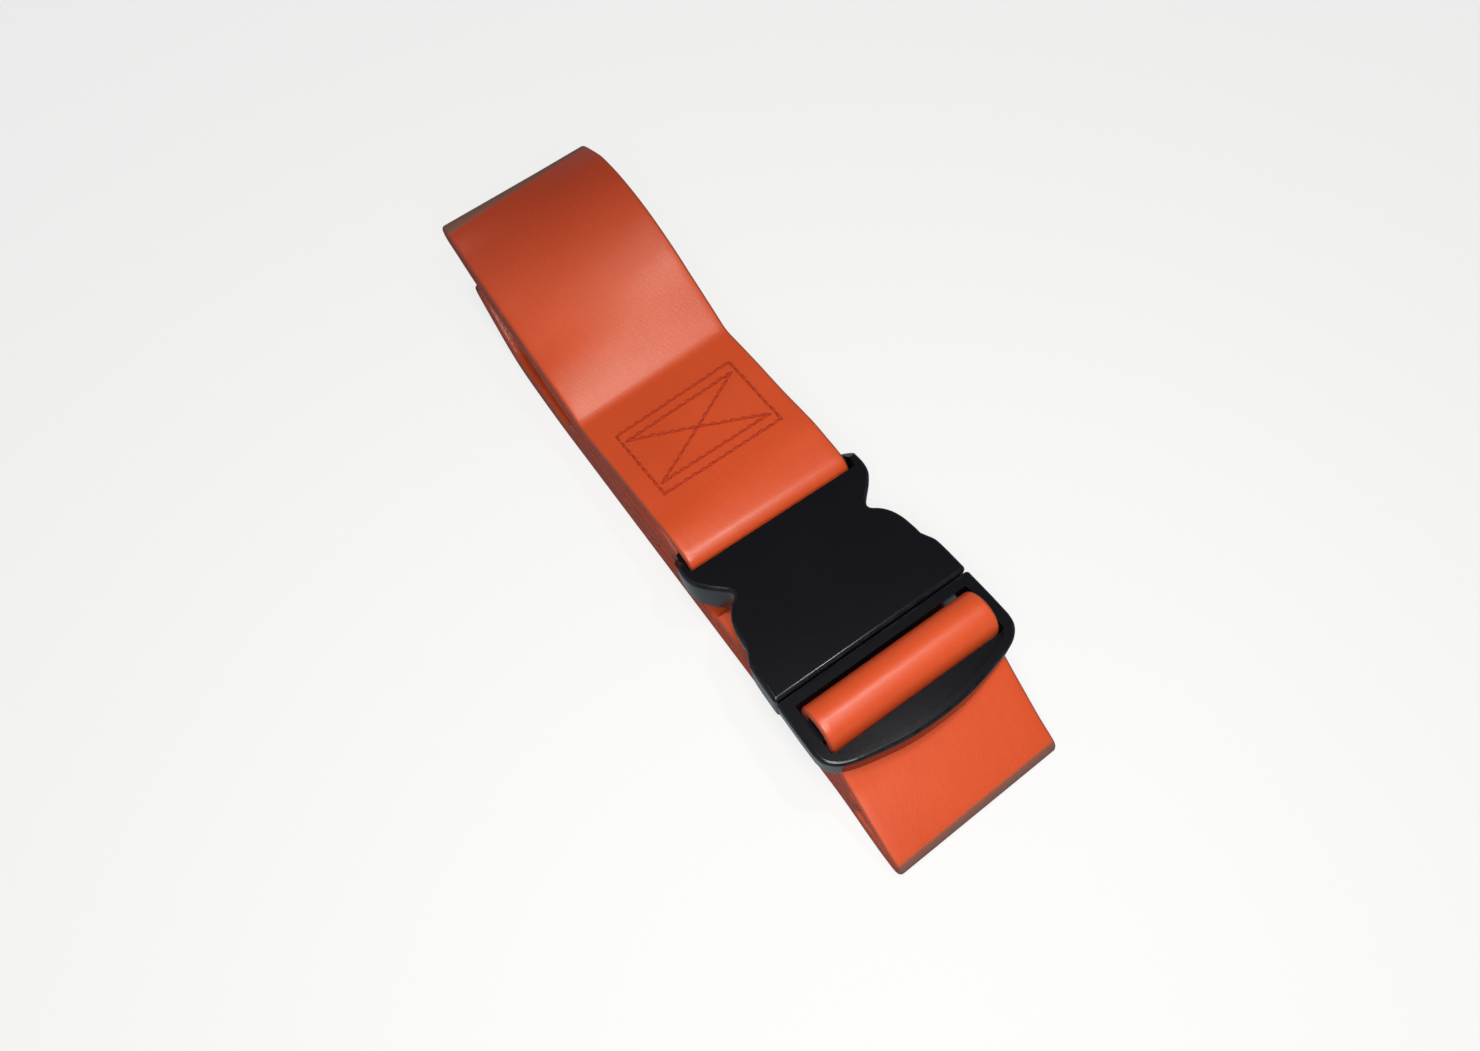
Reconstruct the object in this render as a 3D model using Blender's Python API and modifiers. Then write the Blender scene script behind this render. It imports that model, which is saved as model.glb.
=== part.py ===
"""Restraint strap with a side-release buckle, folded into a bundle.

Two lengths of 50.8 mm coated webbing are joined by a plastic side-release buckle.
The fixed half is sewn round the housing's webbing bar, runs up to the top fold,
comes back underneath and ends in a sewn board loop.  The adjustable half is threaded
over the plug's centre bar, runs down to the bottom fold, lies flat as the bundle's
lowest layer, turns back at the lower fold and ends in a second board loop.

Frame: millimetres below are scaled to metres.  X runs along the strap (+X is the
bottom-fold end), Y across it, Z up.  X = 0 lies in the housing's webbing slot,
Z = 0 is the face the bundle rests on.
"""
import math
import bpy
import bmesh
from mathutils import Matrix, Vector

for old_object in list(bpy.data.objects):
    bpy.data.objects.remove(old_object, do_unlink=True)

MM = 0.001

# ---- webbing dimensions, mm --------------------------------------------------------
WEB_W = 50.8                 # width
WEB_T = 2.2                  # thickness
GAP = 0.3                    # clearance between neighbours that rest on each other
PLY = WEB_T + GAP            # spacing of sewn plies
TURN_R = 1.9                 # centreline radius of the board loops' tight turns

SEWN_RUN = ((-54.0, 23.2), (-16.0, 26.4))    # doubled run by the housing: upper ply's (x, z)
SLOPE = math.atan2(SEWN_RUN[1][1] - SEWN_RUN[0][1], SEWN_RUN[1][0] - SEWN_RUN[0][0])
FIXED_LOOP_Z = 11.2          # upper sewn ply of the fixed half's board loop
BASE_LOOP_Z = 10.1           # upper sewn ply of the base's board loop
BASE_Z = WEB_T / 2           # lowest layer
RETURN_Z = 4.4               # layer that comes back over the lowest one
TOP_FOLD = (-129.8, 38.5)    # centre (x, z)
TOP_FOLD_R = 2.0

FOLD_R = 1.85                # centreline radius of the bottom fold
BOTTOM_FOLD = (82.5, BASE_Z + FOLD_R)                    # its centre (x, z)
FOLD_START_X = 79.0          # where the separate fold piece begins
ADJUSTER_END = (FOLD_START_X, 5.35)                      # (x, z)
ADJUSTER_END_DIR = Vector((4.0, -2.4)).normalized()
PLUG_WRAP = (51.5, 25.2)     # centre (x, z) of the slack turn over the plug's bar
PLUG_WRAP_R = 5.2

# ---- sewn line dimensions, mm ------------------------------------------------------
THREAD_W = 0.7
THREAD_H = 0.4
SEAM_HALF_Y = 19.0           # half width of the sewn rectangle
ROW_INSET = 3.4              # inner rows, in from the rectangle's ends
CROSS_MARGIN = 1.2           # cross, in from the rectangle's sides

# ---- buckle dimensions, mm ---------------------------------------------------------
BUCKLE_TOP = 27.2            # upper face of both mouldings
DRAFT = 0.968                # the mouldings are this much narrower at the bottom
EDGE_BEVEL = 1.2
SLOT_HALF_W = 26.2           # half width of every webbing slot
CUT_Z = (5, 40)              # well below and well above the buckle

HOUSING_Z = (14.7, BUCKLE_TOP)
REAR_BAR = (-5.2, 21.8)      # centre of the housing's webbing bar (x, z)
REAR_BAR_HALF = (2.0, 2.2)   # half width along X, half height
REAR_WRAP_R = 4.3            # centreline radius of the webbing round that bar
SLOT_END_X = 1.1             # far wall of the housing's webbing slot
MOUTH_X = 41.0               # open end of the housing
WINDOW_X = (13.8, 28.2)      # side windows
CHANNEL_HALF_W = 23.5        # half width of the mouth's channel
CAVITY_Z = (17.4, 24.5)      # the housing's roof over the windows is 2.7 mm thick
FLOOR_HALF_W = 22.1          # half width of the housing's floor between the windows

PLUG_Z = (17.8, BUCKLE_TOP)
PLUG_BASE_X = (41.3, 44.4)
ROOT_OVERLAP = 1.0           # how far tongue and prong roots run into the plug's base
CENTRE_BAR_X = (49.0, 54.6)
CENTRE_BAR_Z = (22.2, 26.9)
END_PLATE_X = 58.3           # straight inner edge of the bowed end plate
END_PLATE_Z = (20.5, 25.6)   # its underside and its sunk upper face
SUNK_CUT_H = 20.0            # height of the cutter over the sunk face
PRONG_Z = (17.9, 24.0)
PRONG_PIVOT = (41.5, 16.0)   # origin (x, y) of the +Y prong
PRONG_ROOT_X = 38.0
PRONG_ROOT_HALF_W = 2.8
PRONG_ROOT_INSET = 0.1       # roots are this much lower than the prongs, top and bottom

# ---- materials ---------------------------------------------------------------------
WEBBING = dict(colour=(0.62, 0.075, 0.022), roughness=0.42)
THREAD = dict(colour=(0.42, 0.055, 0.020), roughness=0.6)
PLASTIC = dict(colour=(0.010, 0.011, 0.014), roughness=0.38)


def dress(ob, name, colour, roughness):
    """Gives the object a material of its own."""
    mat = bpy.data.materials.new(name)
    mat.use_nodes = True
    shader = mat.node_tree.nodes["Principled BSDF"]
    shader.inputs["Base Color"].default_value = (*colour, 1.0)
    shader.inputs["Roughness"].default_value = roughness
    ob.data.materials.append(mat)


def new_collection(name):
    collection = bpy.data.collections.new(name)
    bpy.context.scene.collection.children.link(collection)
    return collection


strap = new_collection("restraint_strap")
cutters = new_collection("cutters")


# ---- side profiles -----------------------------------------------------------------
def blend(p, q, t_p, t_q, t):
    """Linear blend that is p at t_p and q at t_q."""
    return p * ((t_q - t) / (t_q - t_p)) + q * ((t - t_p) / (t_q - t_p))


def smooth(points, step=2.5):
    """Centripetal Catmull-Rom curve through the points, about `step` mm between samples."""
    pts = [Vector(p) for p in points]
    pts = [pts[0] * 2 - pts[1]] + pts + [pts[-1] * 2 - pts[-2]]
    out = [pts[1].copy()]
    for i in range(1, len(pts) - 2):
        p0, p1, p2, p3 = pts[i - 1:i + 3]
        t0 = 0.0
        t1 = t0 + max((p1 - p0).length, 1e-6) ** 0.5
        t2 = t1 + max((p2 - p1).length, 1e-6) ** 0.5
        t3 = t2 + max((p3 - p2).length, 1e-6) ** 0.5
        samples = max(2, int(math.ceil((p2 - p1).length / step)))
        for k in range(1, samples + 1):
            t = t1 + (t2 - t1) * k / samples
            a1 = blend(p0, p1, t0, t1, t)
            a2 = blend(p1, p2, t1, t2, t)
            a3 = blend(p2, p3, t2, t3, t)
            b1 = blend(a1, a2, t0, t2, t)
            b2 = blend(a2, a3, t1, t3, t)
            out.append(blend(b1, b2, t1, t2, t))
    return out


def arc(centre, radius, start, end, segments=10):
    """Points on a circle, angles in degrees from +X towards +Z."""
    angles = [math.radians(start + (end - start) * k / segments) for k in range(segments + 1)]
    return [(centre[0] + radius * math.cos(a), centre[1] + radius * math.sin(a))
            for a in angles]


def thin(points, angle=0.25):
    """Drops samples where the line turns by no more than `angle` degrees."""
    pts = [Vector(p) for p in points]
    kept = [pts[0]]
    for i in range(1, len(pts) - 1):
        before = pts[i] - kept[-1]
        after = pts[i + 1] - pts[i]
        if before.length < 1e-4:
            continue
        if abs(math.degrees(before.angle_signed(after, 0.0))) > angle:
            kept.append(pts[i])
    kept.append(pts[-1])
    return kept


def band_outline(centreline, thickness):
    """Closed outline of a band of even thickness that follows an open centreline."""
    line = thin(centreline)
    runs = [(q - p).normalized() for p, q in zip(line, line[1:])]
    one_side, other_side = [], []
    for p, run_in, run_out in zip(line, runs[:1] + runs, runs + runs[-1:]):
        along = (run_in + run_out).normalized()
        normal = Vector((-along.y, along.x))
        # Mitre at the bend, limited to twice the half thickness.
        reach = thickness / 2 / max(0.5, normal.dot(Vector((-run_out.y, run_out.x))))
        one_side.append(p + normal * reach)
        other_side.append(p - normal * reach)
    return one_side + other_side[::-1]


# ---- solids ------------------------------------------------------------------------
def extrude_outline(name, outline, half, collection, origin=(0, 0, 0), upright=False):
    """A filled 2D outline, extruded `half` mm to each side; upright puts it in XZ."""
    curve = bpy.data.curves.new(name, "CURVE")
    curve.dimensions = "2D"
    curve.fill_mode = "BOTH"
    curve.extrude = half * MM
    spline = curve.splines.new("POLY")
    spline.points.add(len(outline) - 1)
    for point, p in zip(spline.points, outline):
        point.co = (p[0] * MM, p[1] * MM, 0.0, 1.0)
    spline.use_cyclic_u = True
    ob = bpy.data.objects.new(name, curve)
    collection.objects.link(ob)
    ob.location = [c * MM for c in origin]
    if upright:
        ob.rotation_euler = (math.pi / 2, 0, 0)
    return ob


def to_mesh(ob):
    """Turns a curve object into a mesh object with welded caps, in the same place."""
    bpy.context.view_layer.update()
    depsgraph = bpy.context.evaluated_depsgraph_get()
    mesh = bpy.data.meshes.new_from_object(ob.evaluated_get(depsgraph))
    bm = bmesh.new()
    bm.from_mesh(mesh)
    bmesh.ops.remove_doubles(bm, verts=bm.verts, dist=1e-6)
    bmesh.ops.recalc_face_normals(bm, faces=bm.faces)
    bm.to_mesh(mesh)
    bm.free()
    name = ob.name
    placement = ob.matrix_world.copy()
    collection = ob.users_collection[0]
    bpy.data.objects.remove(ob, do_unlink=True)
    new = bpy.data.objects.new(name, mesh)
    new.matrix_world = placement
    collection.objects.link(new)
    return new


def plate(name, outline, z_range, collection, x=0.0, y=0.0):
    """A flat solid: an XY outline, relative to (x, y), between two heights."""
    low, high = z_range
    return to_mesh(extrude_outline(name, outline, (high - low) / 2, collection,
                                   origin=(x, y, (low + high) / 2)))


def cuboid(name, size, location, collection, turn=0.0, shift=(0, 0), pitch=0.0):
    """A block turned about Z and shifted in its own frame, which is then tilted by `pitch`."""
    mesh = bpy.data.meshes.new(name)
    bm = bmesh.new()
    bmesh.ops.create_cube(bm, size=1.0)
    bmesh.ops.scale(bm, vec=[s * MM for s in size], verts=bm.verts)
    bmesh.ops.rotate(bm, cent=(0, 0, 0), matrix=Matrix.Rotation(turn, 3, "Z"), verts=bm.verts)
    bmesh.ops.translate(bm, vec=(shift[0] * MM, shift[1] * MM, 0), verts=bm.verts)
    bm.to_mesh(mesh)
    bm.free()
    ob = bpy.data.objects.new(name, mesh)
    ob.location = [c * MM for c in location]
    ob.rotation_euler = (0, -pitch, 0)
    collection.objects.link(ob)
    return ob


def block(name, x_range, y_range, z_range):
    """A rectangular tool block between three pairs of limits."""
    ranges = (x_range, y_range, z_range)
    return cuboid(name, [high - low for low, high in ranges],
                  [(low + high) / 2 for low, high in ranges], cutters)


def apply_tools(ob, tools, operation="DIFFERENCE"):
    """Hides the tools and adds one boolean modifier for each."""
    for tool in tools:
        tool.hide_render = True
        tool.display_type = "WIRE"
        mod = ob.modifiers.new(operation.lower(), "BOOLEAN")
        mod.operation = operation
        mod.object = tool
        mod.solver = "EXACT"


def bevel(ob, width, segments, angle):
    """Rounds edges sharper than `angle` degrees."""
    mod = ob.modifiers.new("edge", "BEVEL")
    mod.width = width * MM
    mod.segments = segments
    mod.limit_method = "ANGLE"
    mod.angle_limit = math.radians(angle)
    mod.miter_outer = "MITER_ARC"


def mirrored(half):
    """Full outline from its y >= 0 half; points on y = 0 are not doubled."""
    return [(x, y) for x, y in half] + [(x, -y) for x, y in reversed(half) if y > 1e-6]


def moulding(name, half_outline, z_range):
    """Symmetric buckle body, drawn in towards the bottom, with rounded edges."""
    ob = plate(name, mirrored(half_outline), z_range, strap)
    top = max(v.co.z for v in ob.data.vertices)
    for v in ob.data.vertices:
        if v.co.z < top - 1e-6:
            v.co.y *= DRAFT
    bevel(ob, width=EDGE_BEVEL, segments=3, angle=60)
    return ob


# ---- webbing: every centreline is a list of (x, z) ---------------------------------
def sewn_run_ply(x, below=0.0):
    """Point on the doubled run's upper centreline at x, or `below` mm under it."""
    z = SEWN_RUN[0][1] + (x - SEWN_RUN[0][0]) * math.tan(SLOPE)
    return (x + below * math.sin(SLOPE), z - below * math.cos(SLOPE))


def fixed_loop_ply(x, below=0.0):
    return (x, FIXED_LOOP_Z - below)


def base_loop_ply(x, below=0.0):
    return (x, BASE_LOOP_Z - below)


def fixed_centreline():
    """From the lower sewn ply round the housing's bar, over the top fold, to the loop."""
    bar_x, bar_z = REAR_BAR
    to_bar = [sewn_run_ply(x, PLY) for x in (-51.0, -36.0, -24.0, -20.5)] + [
        (-15.6, 21.4), (-11.6, 19.3), (-8.2, 17.95), (bar_x - 1.2, bar_z - REAR_WRAP_R + 0.12)]
    to_top_fold = [(-9.6, 26.55), (-13.0, 26.65)] + [
        sewn_run_ply(x) for x in (-17.0, -24.0, -36.0, -47.0, -53.5)] + [
        (-57.5, 23.2), (-63.0, 24.4), (-73.0, 27.9), (-85.0, 32.4), (-97.0, 36.4),
        (-108.0, 39.2), (-118.0, 40.7), (-125.0, 40.9), (-129.6, 40.5)]
    under_fold = [
        (-128.0, 36.4), (-124.0, 36.0), (-115.0, 34.4), (-104.0, 31.2), (-94.0, 27.6),
        (-84.0, 23.6), (-74.0, 19.9), (-64.0, 17.6), (-54.0, 16.8), (-44.0, 16.7),
        (-30.0, 16.4), (-20.0, 15.8), (-12.6, 15.3)]
    loop_top = [
        (-14.5, 11.3), fixed_loop_ply(-19.0), fixed_loop_ply(-30.0), fixed_loop_ply(-43.0),
        (-52.0, 11.6), (-60.0, 11.95), (-65.6, 11.9)]
    loop_bottom = [(-64.0, 8.1), (-58.0, 8.15), (-50.0, 8.5)] + [
        fixed_loop_ply(x, PLY) for x in (-43.0, -30.0, -19.5)]
    return (smooth(to_bar)[:-1]
            + arc(REAR_BAR, REAR_WRAP_R, -98, 96, segments=16)
            + smooth(to_top_fold)
            + arc(TOP_FOLD, TOP_FOLD_R, 90, 270)[1:]
            + smooth(under_fold)
            + arc((-12.4, 13.3), TURN_R, 90, -90)[1:]
            + smooth(loop_top)
            + arc((-65.9, 10.0), TURN_R, 90, 270)[1:]
            + smooth(loop_bottom))


def base_centreline():
    """From the bottom fold along the lowest layer, round the lower fold, to the loop."""
    up_to_fold = [(-99.0, 1.25), (-104.5, 2.5), (-110.0, 5.7), (-115.0, 10.1),
                  (-119.2, 14.3), (-120.8, 16.1)]
    lower_fold = [(-122.2, 17.9), (-122.9, 19.4), (-122.2, 20.7), (-120.7, 20.8),
                  (-119.5, 19.5)]
    down_from_fold = [(-118.4, 17.7), (-117.3, 16.1), (-113.2, 11.85), (-108.3, 7.6),
                      (-103.2, 4.95), (-97.5, 4.38), (-90.0, RETURN_Z)]
    loop_bottom = [(-20.0, RETURN_Z), (-8.0, 5.1), (2.0, 6.6), (8.0, 7.4),
                   base_loop_ply(12.0, PLY), base_loop_ply(36.0, PLY), (41.0, 7.3),
                   (49.0, 5.6), (57.0, 4.55), (64.0, RETURN_Z)]
    loop_top = [(64.0, 8.25), (57.0, 8.5), (49.0, 9.1), (41.0, 9.95),
                base_loop_ply(36.0), base_loop_ply(12.0), base_loop_ply(9.0)]
    return ([(FOLD_START_X - GAP, BASE_Z), (-95.0, BASE_Z)]
            + smooth(up_to_fold, step=1.8)
            + lower_fold
            + smooth(down_from_fold, step=1.8)
            + smooth(loop_bottom)
            + arc((66.0, RETURN_Z + TURN_R), TURN_R, -90, 90)
            + smooth(loop_top))


def adjuster_centreline():
    """From the free end up over the plug's centre bar and down towards the bottom fold."""
    up_to_bar = [(64.6, 11.1), (60.0, 13.2), (56.0, 14.6), (52.0, 15.9), (48.9, 17.6),
                 (47.1, 20.2), (46.35, 23.0)]
    down_to_fold = [(56.72, 24.2), (56.9, 22.5), (57.6, 20.2), (59.4, 18.0), (62.0, 16.3),
                    (66.0, 13.75), (70.0, 11.15), (75.0, 7.9), ADJUSTER_END]
    return (smooth(up_to_bar, step=1.6)[:-1]
            + arc(PLUG_WRAP, PLUG_WRAP_R, 180, 0, segments=14)
            + smooth(down_to_fold, step=1.6))


def fold_centreline():
    """The bottom fold, from just past the adjuster's end to the lowest layer."""
    start = (ADJUSTER_END[0] + ADJUSTER_END_DIR.x * GAP,
             ADJUSTER_END[1] + ADJUSTER_END_DIR.y * GAP)
    return ([start, (80.6, 4.72)]
            + arc(BOTTOM_FOLD, FOLD_R, 75, -90, segments=12)
            + [(FOLD_START_X, BASE_Z)])


def build_webbing(name, centreline, material_name):
    ob = extrude_outline(name, band_outline(centreline, WEB_T), WEB_W / 2, strap, upright=True)
    dress(ob, material_name, **WEBBING)


# ---- sewn lines --------------------------------------------------------------------
def build_sewn_line(name, start, end, outward):
    """One continuous sewn thread: a rectangle, two inner rows and a cross between them.

    `start` and `end` are (x, z) on the ply's centreline; `outward` is +1 above the ply,
    -1 under it.
    """
    run_x, run_z = end[0] - start[0], end[1] - start[1]
    pitch = math.atan2(run_z, run_x)
    normal = Vector((-math.sin(pitch), math.cos(pitch)))
    offset = WEB_T / 2 + GAP + THREAD_H / 2
    middle = Vector(((start[0] + end[0]) / 2, (start[1] + end[1]) / 2))
    middle += normal * offset * outward
    half_x = math.hypot(run_x, run_z) / 2
    row_x = half_x - ROW_INSET
    across = 2 * SEAM_HALF_Y
    cross_y = across - 2 * CROSS_MARGIN
    cross_turn = math.atan2(cross_y, 2 * row_x)
    cross_length = math.hypot(cross_y, 2 * row_x)

    def bar(suffix, x, y, length_x, length_y, turn=0.0, collection=cutters):
        return cuboid(name + suffix, (length_x, length_y, THREAD_H), (middle.x, 0, middle.y),
                      collection, turn=turn, shift=(x, y), pitch=pitch)

    body = bar("", -half_x, 0, THREAD_W, across + THREAD_W, collection=strap)
    apply_tools(body, [
        bar("_row_b", half_x, 0, THREAD_W, across + THREAD_W),
        bar("_side_l", 0, -SEAM_HALF_Y, 2 * half_x + THREAD_W, THREAD_W),
        bar("_side_r", 0, SEAM_HALF_Y, 2 * half_x + THREAD_W, THREAD_W),
        bar("_inner_a", -row_x, 0, THREAD_W, across),
        bar("_inner_b", row_x, 0, THREAD_W, across),
        bar("_cross_a", 0, 0, cross_length, THREAD_W, cross_turn),
        bar("_cross_b", 0, 0, cross_length, THREAD_W, -cross_turn),
    ], "UNION")
    dress(body, name + "_thread", **THREAD)


def build_seam(name, x_start, x_end, ply):
    """Needle thread above the upper ply and bobbin thread under the lower one."""
    for thread, below, outward in (("needle", 0.0, 1), ("bobbin", PLY, -1)):
        build_sewn_line(f"{name}_{thread}_thread", ply(x_start, below), ply(x_end, below),
                        outward)


# ---- buckle housing ----------------------------------------------------------------
def build_housing():
    # Edge on the +Y side as (x, y), from the bar end to the mouth.
    ear = [(-7.2, 17.0), (-7.2, 21.6), (-6.9, 24.6), (-5.9, 26.9), (-3.6, 28.1), (-0.6, 28.5),
           (2.2, 28.4), (4.5, 27.7), (7.4, 25.5), (10.0, 22.8), (11.2, 21.6)]
    roof = [(12.1, 21.1), (13.0, 21.3), (14.7, 23.3), (16.9, 25.0), (20.0, 26.2),
            (24.0, 26.8), (26.4, 26.95)]
    lip = [(27.9, 27.7), (30.0, 28.7), (34.0, 29.1)]
    half = smooth(ear, 1.6) + smooth(roof, 1.6) + smooth(lip, 1.6) + [(MOUTH_X, 29.3)]
    housing = moulding("buckle_housing", half, HOUSING_Z)

    # The cavity opens sideways at the windows and lengthwise at the mouth.
    window_start, window_end = WINDOW_X
    past_side, past_mouth = 40.0, 60.0
    cavity_half = [(8.6, 19.0), (window_start, 19.0), (window_start, past_side),
                   (window_end, past_side), (window_end, CHANNEL_HALF_W),
                   (past_mouth, CHANNEL_HALF_W)]
    slot_y = (-SLOT_HALF_W, SLOT_HALF_W)
    bar_end_x = REAR_BAR[0] + REAR_BAR_HALF[0]
    bar_cut_x = (-20, bar_end_x + 0.5)
    bar_top = REAR_BAR[1] + REAR_BAR_HALF[1]
    bar_bottom = REAR_BAR[1] - REAR_BAR_HALF[1]
    floor_cut_z = (CUT_Z[0], CAVITY_Z[0] + 1)
    apply_tools(housing, [
        plate("cavity_cut", mirrored(cavity_half), CAVITY_Z, cutters),
        block("slot_cut", (bar_end_x, SLOT_END_X), slot_y, CUT_Z),
        block("over_bar_cut", bar_cut_x, slot_y, (bar_top, CUT_Z[1])),
        block("under_bar_cut", bar_cut_x, slot_y, (CUT_Z[0], bar_bottom)),
        block("floor_cut_l", WINDOW_X, (-past_side, -FLOOR_HALF_W), floor_cut_z),
        block("floor_cut_r", WINDOW_X, (FLOOR_HALF_W, past_side), floor_cut_z),
    ])
    dress(housing, "moulded_plastic_housing", **PLASTIC)


# ---- buckle plug -------------------------------------------------------------------
def plug_cuts():
    """Webbing slots, the clearances round the centre bar, and the end plate's faces."""
    slot_y = (-SLOT_HALF_W, SLOT_HALF_W)
    bar_cut_x = (CENTRE_BAR_X[0] - 0.5, CENTRE_BAR_X[1] + 0.5)
    plate_cut_x = END_PLATE_X - 1
    # (x, z) section of the cut that slopes the plate's inner edge.
    edge_section = [(57.6, 24.0), (END_PLATE_X, 24.0), (59.9, 21.6), (62.2, 20.3),
                    (62.2, 19.0), (57.6, 19.0)]
    # (x, y) edge of the sunk upper face, +Y half.
    sunk_edge = [(57.8, 26.0), (59.2, 24.7), (60.3, 22.2), (61.3, 19.0), (62.5, 13.6),
                 (63.3, 8.8), (63.7, 4.0), (63.8, 0.0)]
    sunk_half = [(plate_cut_x, SLOT_HALF_W)] + smooth(sunk_edge, 2.0)
    return [
        block("inner_slot_cut", (PLUG_BASE_X[1], CENTRE_BAR_X[0]), slot_y, CUT_Z),
        block("outer_slot_cut", (CENTRE_BAR_X[1], END_PLATE_X), slot_y, CUT_Z),
        block("bar_over_cut", bar_cut_x, slot_y, (CENTRE_BAR_Z[1], CUT_Z[1])),
        block("bar_under_cut", bar_cut_x, slot_y, (CUT_Z[0], CENTRE_BAR_Z[0])),
        block("plate_under_cut", (plate_cut_x, 80), slot_y, (CUT_Z[0], END_PLATE_Z[0])),
        to_mesh(extrude_outline("plate_edge_cut", edge_section, SLOT_HALF_W, cutters,
                                upright=True)),
        plate("plate_sunk_cut", mirrored(sunk_half),
              (END_PLATE_Z[1], END_PLATE_Z[1] + SUNK_CUT_H), cutters),
    ]


def plug_additions():
    """The guide tongue and the two prong roots."""
    root_end_x = PLUG_BASE_X[0] + ROOT_OVERLAP
    tongue = block("guide_tongue", (10.5, root_end_x), (-6.5, 6.5), (18.3, 23.6))
    bevel(tongue, width=0.9, segments=2, angle=30)
    additions = [tongue]
    root_z = (PRONG_Z[0] + PRONG_ROOT_INSET, PRONG_Z[1] - PRONG_ROOT_INSET)
    for name, side in (("prong_root_l", -1), ("prong_root_r", 1)):
        y = side * PRONG_PIVOT[1]
        root_y = (y - PRONG_ROOT_HALF_W, y + PRONG_ROOT_HALF_W)
        additions.append(block(name, (PRONG_ROOT_X, root_end_x), root_y, root_z))
    return additions


def build_plug():
    # Edge on the +Y side as (x, y), from the base to the middle of the bowed end plate.
    base_side = [(PLUG_BASE_X[0], 28.5), (41.5, 29.0), (42.0, 29.3), (50.0, 29.5)]
    bow = [(56.0, 29.5), (58.3, 29.0), (60.0, 27.9), (61.6, 25.9), (62.8, 23.0), (63.7, 19.6),
           (64.9, 14.0), (65.7, 9.0), (66.1, 4.0), (66.2, 0.0)]
    plug = moulding("buckle_plug", base_side + smooth(bow, 2.0), PLUG_Z)
    apply_tools(plug, plug_cuts())
    apply_tools(plug, plug_additions(), "UNION")
    dress(plug, "moulded_plastic_plug", **PLASTIC)


def build_prongs():
    # Outline of the +Y prong as (x, y); the button is its widest stretch.
    button = [(28.0, 25.3), (25.0, 25.7), (21.0, 25.4), (18.0, 24.6), (15.6, 23.3)]
    outline = (
        [(37.3, 14.2), (37.3, 18.0), (33.0, 17.6), (29.4, 18.4), (28.1, 20.4)]
        + smooth(button, 1.5)
        + [(14.3, 22.2), (14.2, 18.6), (12.6, 17.6), (12.0, 15.6), (13.0, 13.6), (16.0, 13.0),
           (24.0, 13.2)])
    pivot_x, pivot_y = PRONG_PIVOT
    for name, side in (("plug_prong_left", -1), ("plug_prong_right", 1)):
        local = [(x - pivot_x, side * (y - pivot_y)) for x, y in outline]
        prong = plate(name, local, PRONG_Z, strap, x=pivot_x, y=side * pivot_y)
        bevel(prong, width=0.6, segments=2, angle=40)
        dress(prong, "moulded_plastic_" + name, **PLASTIC)


# ---- assembly ----------------------------------------------------------------------
build_webbing("fixed_webbing", fixed_centreline(), "coated_webbing_fixed")
build_webbing("base_webbing", base_centreline(), "coated_webbing_base")
build_webbing("adjuster_webbing", adjuster_centreline(), "coated_webbing_adjuster")
build_webbing("bottom_fold", fold_centreline(), "coated_webbing_fold")

build_seam("buckle_seam", -47.0, -22.5, sewn_run_ply)
build_seam("fixed_loop", -41.0, -22.0, fixed_loop_ply)
build_seam("base_loop", 13.5, 34.0, base_loop_ply)

build_housing()
build_plug()
build_prongs()
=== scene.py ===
"""A folded bundle of orange coated webbing with a black plastic buckle.

The bundle lies on the floor (z = 0): x runs along the webbing, y across it and z up. The buckle
housing and its plug are at the +x end. Sizes are in millimetres and become metres through MM as
meshes are made. Shader relief distances, lights and the floor are in metres.
"""
import math
from collections import namedtuple

import bpy
import bmesh
import numpy as np
from mathutils import Matrix, Vector


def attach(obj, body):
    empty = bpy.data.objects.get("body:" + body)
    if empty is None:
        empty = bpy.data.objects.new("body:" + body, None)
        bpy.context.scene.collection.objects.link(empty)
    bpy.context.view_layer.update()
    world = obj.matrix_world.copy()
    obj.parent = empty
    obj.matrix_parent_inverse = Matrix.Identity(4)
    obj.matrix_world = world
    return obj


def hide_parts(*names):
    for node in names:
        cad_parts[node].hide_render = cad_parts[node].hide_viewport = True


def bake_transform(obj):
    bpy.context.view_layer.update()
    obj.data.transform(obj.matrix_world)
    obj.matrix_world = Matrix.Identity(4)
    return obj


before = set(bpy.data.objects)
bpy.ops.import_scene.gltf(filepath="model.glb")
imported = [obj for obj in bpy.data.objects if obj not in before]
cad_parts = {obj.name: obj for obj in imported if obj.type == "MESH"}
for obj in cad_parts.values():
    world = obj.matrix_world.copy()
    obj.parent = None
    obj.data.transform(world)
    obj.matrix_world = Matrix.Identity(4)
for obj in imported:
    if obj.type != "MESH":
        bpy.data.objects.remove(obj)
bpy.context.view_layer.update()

scene = bpy.context.scene

MM = 0.001
WIDTH = 50.8                # webbing
HALF_WIDTH = WIDTH / 2
THICK = 2.2
HALF_THICK = THICK / 2
PLY = 2.5                   # spacing of two sewn layers
INF = math.inf


# =====================================================================================
# curves and objects
# =====================================================================================
def smoothstep(start, end, x):
    t = min(1.0, max(0.0, (x - start) / (end - start)))
    return t * t * (3 - 2 * t)


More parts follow.
